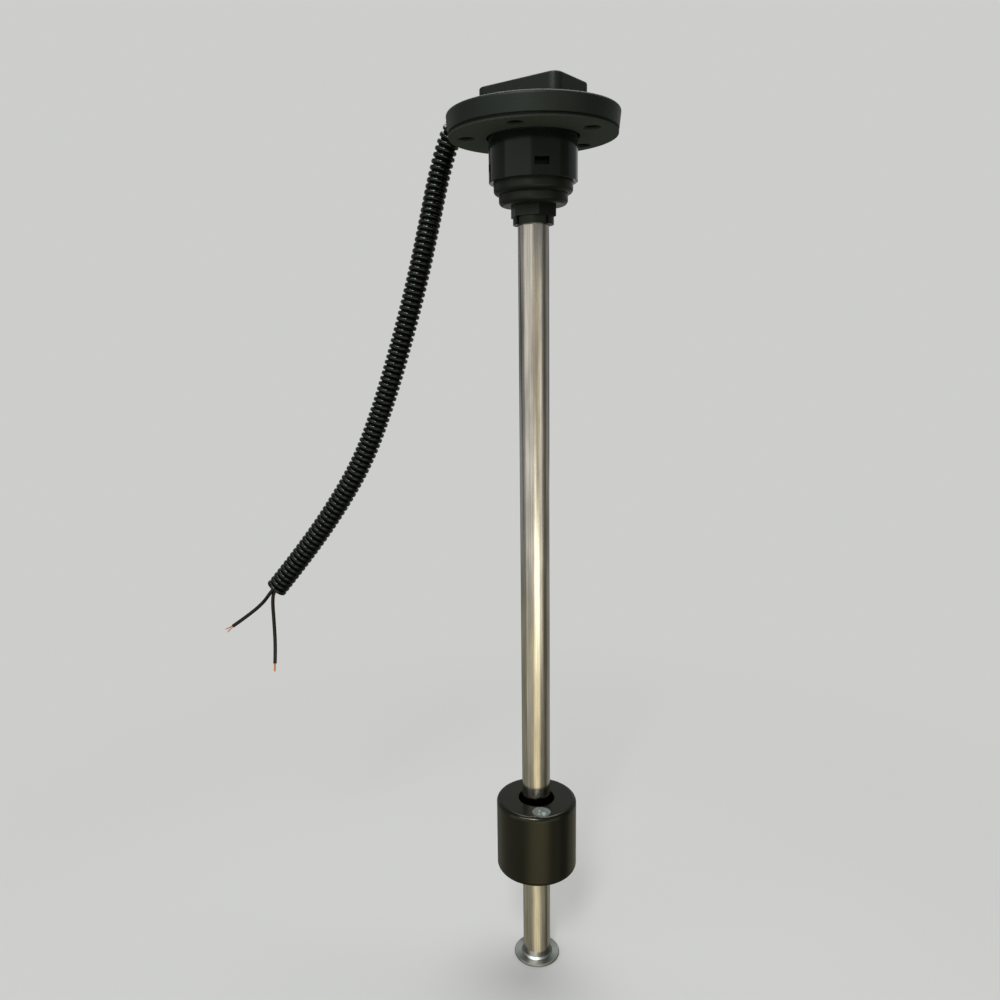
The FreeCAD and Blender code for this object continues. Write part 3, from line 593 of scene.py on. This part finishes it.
def ringed_sleeve_tree():
    """A tube along a line: round crests one after the other, with narrow roots between them."""
    tree, given = node_tree("ringed_sleeve", RING_SIZES)
    sums = {label: given[label] for label in RING_SIZES}
    sums["Index"] = add_node(tree, "GeometryNodeInputIndex").outputs["Index"]
    for name, operation, *terms in RING_SUMS:
        inputs = {place: sums.get(term, term) for place, term in enumerate(terms)}
        sums[name] = add_node(tree, "ShaderNodeMath", inputs, operation=operation).outputs["Value"]
    route = add_node(tree, "GeometryNodeMeshToCurve", {"Mesh": given["Geometry"]}).outputs["Curve"]
    spots = add_node(tree, "GeometryNodeMeshLine", {"Count": sums["Spots"]})
    spot = add_node(tree, "GeometryNodeSampleCurve", {"Curves": route, "Factor": sums["Share"]},
                    use_all_curves=True)
    laid = add_node(tree, "GeometryNodeSetPosition", {"Geometry": spots.outputs["Mesh"],
                                                      "Position": spot.outputs["Position"]})
    kept = add_node(tree, "GeometryNodeStoreNamedAttribute", {
        "Geometry": laid.outputs["Geometry"], "Name": "ring_radius", "Value": sums["Radius"]})
    line = add_node(tree, "GeometryNodeMeshToCurve", {"Mesh": kept.outputs["Geometry"]})
    swell = add_node(tree, "GeometryNodeInputNamedAttribute", {"Name": "ring_radius"})
    circle = add_node(tree, "GeometryNodeCurvePrimitiveCircle", {
        "Resolution": given["Sides"], "Radius": 1.0})
    sleeve = add_node(tree, "GeometryNodeCurveToMesh", {
        "Curve": line.outputs["Curve"], "Profile Curve": circle.outputs["Curve"],
        "Scale": swell.outputs["Attribute"]})
    close_tree(tree, sleeve.outputs["Mesh"], given["Material"])
    return tree


LEAD_SIZES = {"Radius": LEAD_DIAMETER / 2 * MM, "Step": LEAD_STEP * MM, "Sides": LEAD_SIDES}
STRAND_SIZES = {"Radius": STRAND_DIAMETER / 2 * MM, "Step": STRAND_STEP * MM, "Sides": STRAND_SIDES}


def round_wire_tree():
    """A closed round wire along each line."""
    tree, given = node_tree("round_wire", LEAD_SIZES)
    line = add_node(tree, "GeometryNodeMeshToCurve", {"Mesh": given["Geometry"]})
    even = add_node(tree, "GeometryNodeResampleCurve", {"Curve": line.outputs["Curve"],
                                                        "Length": given["Step"]}, mode="LENGTH")
    circle = add_node(tree, "GeometryNodeCurvePrimitiveCircle", {"Resolution": given["Sides"],
                                                                 "Radius": given["Radius"]})
    wire = add_node(tree, "GeometryNodeCurveToMesh", {
        "Curve": even.outputs["Curve"], "Profile Curve": circle.outputs["Curve"],
        "Fill Caps": True})
    close_tree(tree, wire.outputs["Mesh"], given["Material"])
    return tree


def grow(name, lines, tree, material, sizes):
    """Run a geometry tree on lines and keep the result as a plain mesh piece."""
    piece = bpy.data.objects.new(name, lines)
    bpy.context.scene.collection.objects.link(piece)
    modifier = piece.modifiers.new(tree.name, "NODES")
    modifier.node_group = tree
    values = {**sizes, "Material": material}
    for item in tree.interface.items_tree:
        if item.in_out == "INPUT" and item.name in values:
            modifier[item.identifier] = values[item.name]
    depsgraph = bpy.context.evaluated_depsgraph_get()
    grown = bpy.data.meshes.new_from_object(piece.evaluated_get(depsgraph))
    piece.modifiers.clear()
    piece.data = grown
    bpy.data.meshes.remove(lines)
    return piece


def smooth_line(name, route):
    """The line of a cord as a mesh of edges, smooth about the route's points."""
    curve = bpy.data.curves.new(name, "CURVE")
    curve.dimensions = "3D"
    curve.resolution_u = LINE_STEPS
    spline = curve.splines.new("NURBS")
    spline.points.add(len(route) - 1)
    for spot, point in zip(spline.points, route):
        spot.co = (*(c * MM for c in point), 1.0)
    spline.order_u = LINE_ORDER
    spline.use_endpoint_u = True
    holder = bpy.data.objects.new(name, curve)
    line = bpy.data.meshes.new_from_object(holder)
    bpy.data.objects.remove(holder)
    bpy.data.curves.remove(curve)
    return line


def points_of(line):
    """A line's points in order."""
    return [vertex.co.copy() for vertex in line.vertices]


def make_conduit(material):
    """Ringed sleeve from the housing's nipple to its open mouth."""
    line = smooth_line("conduit_line", [CONDUIT_EXIT] + CONDUIT_ROUTE)
    piece = grow("ringed_conduit", line, ringed_sleeve_tree(), material, RING_SIZES)
    wall = piece.modifiers.new("wall", "SOLIDIFY")
    wall.thickness = CONDUIT_WALL * MM
    # The wall lies inside the rings' outer face
    wall.offset = -1.0
    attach(piece, "sender")
    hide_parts("conduit")


def strand_lines(name, tip, heading, opening):
    """Fine strands that leave a lead's tip in a loose bundle and open into two tufts."""
    draw = random.Random(name)
    side = heading.cross(FRONT).normalized()
    deep = heading.cross(side)
    verts = []
    edges = []
    for strand in range(STRAND_COUNT):
        turn = strand * BUNDLE_TURN
        spread = BUNDLE_RADIUS * math.sqrt((strand + 0.5) / STRAND_COUNT)
        reach = STRAND_LENGTH * draw.uniform(STRAND_SHORTEST, 1.0)
        tuft = 1 if math.cos(turn) > 0 else -1
        lean = draw.uniform(-STRAND_LEAN, STRAND_LEAN)
        for step in range(STRAND_PIECES + 1):
            share = step / STRAND_PIECES
            lay = turn + STRAND_TWIST * share
            aside = math.cos(lay) * side + math.sin(lay) * deep
            out = spread * aside * (1 - BUNDLE_TAPER * share)
            opened = share ** TUFT_CURVE * (tuft * opening + lean) * side
            hidden = heading * STRAND_ROOT * (1 - share)
            verts.append(tip + MM * (heading * reach * share + out + opened - hidden))
            if step:
                edges.append((len(verts) - 2, len(verts) - 1))
    mesh = bpy.data.meshes.new(name)
    mesh.from_pydata(verts, edges, [])
    return mesh


def make_leads(vinyl, copper):
    """Two insulated leads with bare strands at their free ends."""
    tree = round_wire_tree()
    lead_way = LEAD_STARTS + CONDUIT_ROUTE[:-1] + [LEAD_MOUTH]
    for (node, tail), way in zip(LEAD_TAILS.items(), (-1, 1)):
        shift = ACROSS_CONDUIT * (way * LEAD_SPACING / 2)
        route = [Vector(point) + shift for point in lead_way] + [Vector(p) for p in tail]
        line = smooth_line(f"{node}_line", route)
        points = points_of(line)
        lead = grow(f"{node}_insulation", line, tree, vinyl, LEAD_SIZES)
        heading = (points[-1] - points[-2]).normalized()
        lines = strand_lines(f"{node}_lines", points[-1], heading, TUFT_OPENING[node])
        strands = grow(f"{node}_strands", lines, tree, copper, STRAND_SIZES)
        for piece, stands_for, slot in ((lead, node, "lead_insulation"),
                                        (strands, f"{node}_copper", "bare_copper")):
            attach(piece, "sender")
            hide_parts(stands_for)


def dress_nodes():
    """Give each carried-over solid the finish of its material slot."""
    nylon = satin_nylon()
    stainless = turned_stainless()
    # Pieces whose surface differs from the rest of their slot
    own = {"tube_holder": nylon, "gland_nut": nylon, "foot_plug": stainless}
    by_slot = {
        "head_plastic": glass_filled_nylon(),
        "seal_rubber": nitrile_sheet(),
        "stem_steel": drawn_stainless(),
        "float_rubber": skinned_foam_rubber(),
        "plug_resin": cast_epoxy(),
        "magnet_ferrite": pressed_ferrite(),
        "board_laminate": glass_cloth_laminate(),
        "potting_resin": potting_epoxy(),
        "reed_glass": reed_switch_glass(),
        "resistor_ceramic": chip_resistor_glaze(),
        "conduit_plastic": ringed_polyamide(),
        "lead_insulation": lead_vinyl(),
        "bare_copper": bare_copper(),
    }
    for row in frame["record"]["subparts"]:
        node = frame["nodes"][row["node"]]
        node.material_slots[0].material = own.get(row["node"], by_slot[row["material_slot"]])
    return by_slot


def make_camera():
    """A camera that sees the part as the photograph does."""
    camera = bpy.data.objects.new("photo_camera", bpy.data.cameras.new("photo_camera"))
    camera.data.lens = CAMERA_LENS
    camera.data.shift_x = CAMERA_SHIFT
    camera.data.clip_start = CAMERA_NEAR
    camera.matrix_world = (
        Matrix.Translation(CAMERA_PLACE)
        @ Matrix.Rotation(math.radians(CAMERA_PITCH), 4, "X")
        @ Matrix.Rotation(math.radians(CAMERA_ROLL), 4, "Z"))
    bpy.context.scene.collection.objects.link(camera)
    bpy.context.scene.camera = camera


# The plain stage: its floor fades into the background between two distances, in metres
BACKGROUND = "#CDCECC"
FLOOR = "#D6D7D5"
FLOOR_RADIUS = 6.0
FLOOR_SIDES = 96
FADE_START = 0.10
FADE_END = 0.45


def make_floor():
    """A round pale floor under the foot that fades into the background colour."""
    material = bpy.data.materials.new("pale_floor")
    material.use_nodes = True
    tree = material.node_tree
    tree.nodes.clear()
    place = add_node(tree, "ShaderNodeTexCoord").outputs["Object"]
    distance = add_node(tree, "ShaderNodeVectorMath", {0: place}, operation="LENGTH")
    fade = add_node(tree, "ShaderNodeMapRange", {
        "Value": distance.outputs["Value"], "From Min": FADE_START, "From Max": FADE_END},
        interpolation_type="SMOOTHSTEP")
    matte = add_node(tree, "ShaderNodeBsdfDiffuse", {"Color": linear(FLOOR)})
    far = add_node(tree, "ShaderNodeEmission", {"Color": linear(BACKGROUND)})
    mixed = add_node(tree, "ShaderNodeMixShader", {
        0: fade.outputs["Result"], 1: matte.outputs["BSDF"], 2: far.outputs["Emission"]})
    add_node(tree, "ShaderNodeOutputMaterial", {"Surface": mixed.outputs["Shader"]})
    bpy.ops.mesh.primitive_circle_add(vertices=FLOOR_SIDES, radius=FLOOR_RADIUS, fill_type="NGON",
                                      location=(0, 0, cad_box[0].z))
    floor = bpy.context.active_object
    floor.name = "floor"
    floor.data.materials.append(material)
    # Shiny surfaces mirror the ground of the studio panels instead
    floor.visible_glossy = False


def softbox(name, place, aim, size, radiance, colour, mirrored=True, lights=True):
    """An area lamp of a set radiance that stays out of the camera's sight.

    One that isn't mirrored leaves no highlight, and one that doesn't light gives only that.
    """
    light = bpy.data.lights.new(name, "AREA")
    light.shape = "RECTANGLE"
    light.size, light.size_y = size
    light.energy = radiance * math.pi * size[0] * size[1]
    light.color = linear(colour)[:3]
    lamp = bpy.data.objects.new(name, light)
    lamp.location = place
    lamp.rotation_mode = "QUATERNION"
    lamp.rotation_quaternion = (Vector(aim) - Vector(place)).to_track_quat("-Z", "Y")
    lamp.visible_camera = False
    lamp.visible_glossy = mirrored
    lamp.visible_diffuse = lights
    bpy.context.scene.collection.objects.link(lamp)


# What shiny surfaces mirror of the studio: the plain background, and before it soft-edged cards and
# panels, laid one over the other. Angles are in degrees: azimuths from the camera's side, positive
# to the right, and elevations from level.
# (azimuth from, to, its soft edge, elevation from, to, its soft edge, level, colour)
STUDIO_PANELS = {
    "left_card": (-140, -80, 8, -100, 36, 10, 0.30, "#FFFFFF"),
    "right_card": (100, 140, 8, -100, 36, 10, 0.30, "#FFFFFF"),
    "dim_ceiling": (-150, 150, 20, 36, 100, 10, 0.12, "#FFFFFF"),
    "warm_ground": (-181, 181, 1, -100, -15, 10, 0.30, "#FFFADF"),
    "dim_ground": (-181, 181, 1, -100, -50, 10, 0.16, "#FFFADF"),
    "back_left": (-190, -128, 16, 18, 70, 12, 0.37, "#F8FCF4"),
    "back_right": (128, 190, 16, 18, 70, 12, 0.37, "#F8FCF4"),
    "dark_back": (-190, -146, 8, -60, 16, 8, 0.18, "#FFFFFF"),
    "dim_right": (132, 190, 10, -9, 7, 4, 0.17, "#FFFFFF"),
    "front_card": (-12, 68, 6, -15, 14, 5, 0.28, "#FFFFFF"),
    "left_screen": (-80, -9, 5, -25, 30, 12, 0.92, "#FFFBF3"),
    "low_left": (-80, -9, 5, -23, -18, 6, 0.56, "#FFF9DC"),
    "low_front": (-30, 26, 36, -48, -19, 5, 1.00, "#FFF1CC"),
    "low_glow": (-16, 28, 22, -31, -19, 6, 1.65, "#FFF1CC"),
    "amber_strip": (-8, 28, 10, -12, 4, 5, 0.75, "#FFF0D8"),
    "front_strip": (29, 56, 6, -22, 4, 4, 1.15, "#FFF6E4"),
    "dark_screen": (68, 100, 7, -50, 45, 8, 0.14, "#FFF8E8"),
    "window_tip": (-7, 8, 6, -14.5, -8.5, 4, 2.6, "#FFF9E6"),
    "warm_window": (-8, 30, 8, -21, -12.5, 5, 2.6, "#FFF8E2"),
}
# Even light from all round on dull surfaces
FILL_LEVEL = 0.30


def within(tree, angle, low, high, soft):
    """One between two angles in degrees, falling to nothing over a soft edge."""
    away = add_node(tree, "ShaderNodeMath", {
        0: angle, 1: math.radians((low + high) / 2)}, operation="SUBTRACT")
    size = add_node(tree, "ShaderNodeMath", {0: away.outputs["Value"]}, operation="ABSOLUTE")
    half = (high - low) / 2
    inside = add_node(tree, "ShaderNodeMapRange", {
        "Value": size.outputs["Value"], "From Min": math.radians(half + soft / 2),
        "From Max": math.radians(half - soft / 2)}, interpolation_type="SMOOTHSTEP")
    return inside.outputs["Result"]


def mirrored_studio(tree):
    """The background and the panels before it, by the direction of a ray."""
    way = add_node(tree, "ShaderNodeTexCoord").outputs["Generated"]
    axis = add_node(tree, "ShaderNodeSeparateXYZ", {"Vector": way}).outputs
    front = add_node(tree, "ShaderNodeMath", {0: axis["Y"], 1: -1.0}, operation="MULTIPLY")
    azimuth = add_node(tree, "ShaderNodeMath", {0: axis["X"], 1: front.outputs["Value"]},
                       operation="ARCTAN2").outputs["Value"]
    elevation = add_node(tree, "ShaderNodeMath", {0: axis["Z"]},
                         operation="ARCSINE").outputs["Value"]
    light = linear(BACKGROUND)
    for left, right, side_soft, low, high, end_soft, level, colour in STUDIO_PANELS.values():
        inside = add_node(tree, "ShaderNodeMath", {
            0: within(tree, azimuth, left, right, side_soft),
            1: within(tree, elevation, low, high, end_soft)}, operation="MULTIPLY")
        panel = tuple(level * channel for channel in linear(colour)[:3])
        light = add_node(tree, "ShaderNodeMix", {
            0: inside.outputs["Value"], MIX_FROM: light, MIX_TO: (*panel, 1.0)},
            data_type="RGBA").outputs[MIXED]
    return light


def light_stage():
    """Soft boxes on the left, overhead and in front, a high one for its highlight, and the world.

    The world shows the plain background, gives an even fill, and holds what shiny surfaces mirror.
    """
    softbox("left_box", place=(-0.75, -0.62, 0.05), aim=(0.0, 0.0, -0.15), size=(0.95, 0.80),
            radiance=0.8, colour="#F4F6F4", mirrored=False)
    softbox("top_box", place=(0.10, 0.30, 0.80), aim=(0.0, 0.0, 0.0), size=(0.9, 0.6),
            radiance=4.0, colour="#FFFFFF")
    softbox("front_box", place=(-0.18, -0.70, 0.52), aim=(0.0, 0.0, 0.0), size=(0.20, 0.40),
            radiance=15.0, colour="#FFFFFF")
    softbox("high_box", place=(-0.46, -0.84, 0.72), aim=(0.0, 0.0, -0.05), size=(1.0, 0.28),
            radiance=9.0, colour="#FFFFFF", lights=False)
    world = bpy.data.worlds.new("studio")
    world.use_nodes = True
    # The world isn't sampled as a lamp, so every ray that meets it knows its own kind
    world.cycles.sampling_method = "NONE"
    tree = world.node_tree
    tree.nodes.clear()
    bpy.context.scene.world = world
    path = add_node(tree, "ShaderNodeLightPath").outputs
    seen = add_node(tree, "ShaderNodeMath", {
        0: path["Is Camera Ray"], 1: path["Is Transmission Ray"]}, operation="MAXIMUM")
    fill = add_node(tree, "ShaderNodeBackground", {
        "Color": linear("#FFFFFF"), "Strength": FILL_LEVEL})
    around = add_node(tree, "ShaderNodeBackground", {"Color": mirrored_studio(tree)})
    behind = add_node(tree, "ShaderNodeBackground", {"Color": linear(BACKGROUND)})
    unseen = add_node(tree, "ShaderNodeMixShader", {
        0: path["Is Glossy Ray"], 1: fill.outputs["Background"], 2: around.outputs["Background"]})
    mixed = add_node(tree, "ShaderNodeMixShader", {
        0: seen.outputs["Value"], 1: unseen.outputs["Shader"], 2: behind.outputs["Background"]})
    add_node(tree, "ShaderNodeOutputWorld", {"Surface": mixed.outputs["Shader"]})
    bpy.context.scene.view_settings.view_transform = "Standard"


make_camera()
finishes = dress_nodes()
make_conduit(finishes["conduit_plastic"])
make_leads(finishes["lead_insulation"], finishes["bare_copper"])
make_floor()
light_stage()
